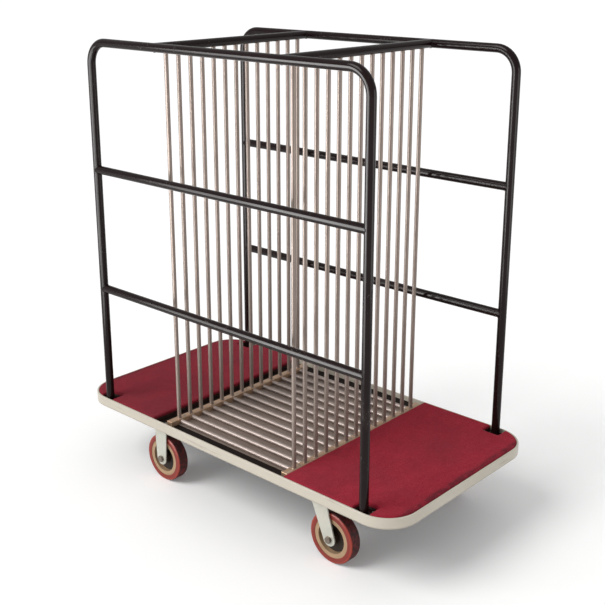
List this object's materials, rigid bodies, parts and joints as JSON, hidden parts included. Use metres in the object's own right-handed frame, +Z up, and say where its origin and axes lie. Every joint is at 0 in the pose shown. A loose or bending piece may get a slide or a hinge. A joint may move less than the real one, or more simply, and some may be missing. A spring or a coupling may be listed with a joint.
{
  "type": "table-top transport cart",
  "caption": "Hotel cart with a carpeted, bumper-edged deck, tube hoops and a rack of upright rods that carries round table tops on edge; swivel casters at one end, fixed ones at the other.",
  "frame": {"origin": "on the floor, under the centre of the deck", "axes": "+Z up, +X along the deck towards the swivel casters, +Y across the deck towards the back hoop"},
  "size_m": [1.28, 0.67, 1.3747],
  "materials": {
    "deck_board": "black-painted plywood, satin",
    "edge_bumper": "soft beige vinyl extrusion, slightly glossy",
    "underlay": "dark hardboard, raw",
    "carpet": "burgundy cut-pile carpet",
    "hoop_tube": "near-black gloss powder coat",
    "rod_chrome": "bright nickel-chrome plated rod",
    "rail_steel": "yellow zinc-plated flat bar",
    "tray_steel": "dull rolled sheet",
    "screw_steel": "dark zinc-plated fasteners",
    "caster_zinc": "bright zinc-plated pressed steel",
    "bearing_steel": "ground bearing steel",
    "tyre": "brick-red moulded polyurethane",
    "wheel_core": "tan-painted cast iron"
  },
  "bodies": {
    "cart": {"deck_board": "deck_board", "edge_bumper": "edge_bumper", "left_underlay": "underlay", "right_underlay": "underlay", "left_carpet": "carpet", "right_carpet": "carpet", "front_hoop": "hoop_tube", "back_hoop": "hoop_tube", "front_upper_rail": "hoop_tube", "front_lower_rail": "hoop_tube", "back_upper_rail": "hoop_tube", "back_lower_rail": "hoop_tube", "foot_flanges": "hoop_tube", "flange_screws": "screw_steel", "left_cross_bar": "hoop_tube", "right_cross_bar": "hoop_tube", "left_rack_rods": "rod_chrome", "right_rack_rods": "rod_chrome", "left_rack_rail": "rail_steel", "right_rack_rail": "rail_steel", "rail_screws": "screw_steel", "rack_tray": "tray_steel", "floor_rods": "rod_chrome", "caster_bolts": "screw_steel", "caster_nuts": "screw_steel", "front_swivel_plate": "caster_zinc", "back_swivel_plate": "caster_zinc", "front_kingpin": "screw_steel", "back_kingpin": "screw_steel", "kingpin_nuts": "screw_steel", "kingpin_washers": "screw_steel", "front_swivel_balls": "bearing_steel", "back_swivel_balls": "bearing_steel", "front_rigid_fork": "caster_zinc", "back_rigid_fork": "caster_zinc", "front_left_axle": "screw_steel", "back_left_axle": "screw_steel", "left_axle_nuts": "screw_steel", "front_left_spacer": "bearing_steel", "back_left_spacer": "bearing_steel"},
    "front_swivel": {"front_swivel_fork": "caster_zinc", "front_right_axle": "screw_steel", "front_right_axle_nut": "screw_steel", "front_right_spacer": "bearing_steel"},
    "back_swivel": {"back_swivel_fork": "caster_zinc", "back_right_axle": "screw_steel", "back_right_axle_nut": "screw_steel", "back_right_spacer": "bearing_steel"},
    "front_left_wheel": {"front_left_tyre": "tyre", "front_left_wheel_core": "wheel_core", "front_left_rollers": "bearing_steel"},
    "back_left_wheel": {"back_left_tyre": "tyre", "back_left_wheel_core": "wheel_core", "back_left_rollers": "bearing_steel"},
    "front_right_wheel": {"front_right_tyre": "tyre", "front_right_wheel_core": "wheel_core", "front_right_rollers": "bearing_steel"},
    "back_right_wheel": {"back_right_tyre": "tyre", "back_right_wheel_core": "wheel_core", "back_right_rollers": "bearing_steel"}
  },
  "joints": [
    {"name": "front_swivel_turn", "type": "hinge", "parent": "cart", "child": "front_swivel", "pos_m": [0.35, -0.266, 0.188], "axis": [0, 0, 1], "continuous": true},
    {"name": "back_swivel_turn", "type": "hinge", "parent": "cart", "child": "back_swivel", "pos_m": [0.35, 0.266, 0.188], "axis": [0, 0, 1], "continuous": true},
    {"name": "front_left_wheel_spin", "type": "hinge", "parent": "cart", "child": "front_left_wheel", "pos_m": [-0.31, -0.266, 0.076], "axis": [0, 1, 0], "continuous": true},
    {"name": "front_right_wheel_spin", "type": "hinge", "parent": "front_swivel", "child": "front_right_wheel", "pos_m": [0.391, -0.266, 0.076], "axis": [0, 1, 0], "continuous": true},
    {"name": "back_left_wheel_spin", "type": "hinge", "parent": "cart", "child": "back_left_wheel", "pos_m": [-0.31, 0.266, 0.076], "axis": [0, 1, 0], "continuous": true},
    {"name": "back_right_wheel_spin", "type": "hinge", "parent": "back_swivel", "child": "back_right_wheel", "pos_m": [0.391, 0.266, 0.076], "axis": [0, 1, 0], "continuous": true}
  ]
}
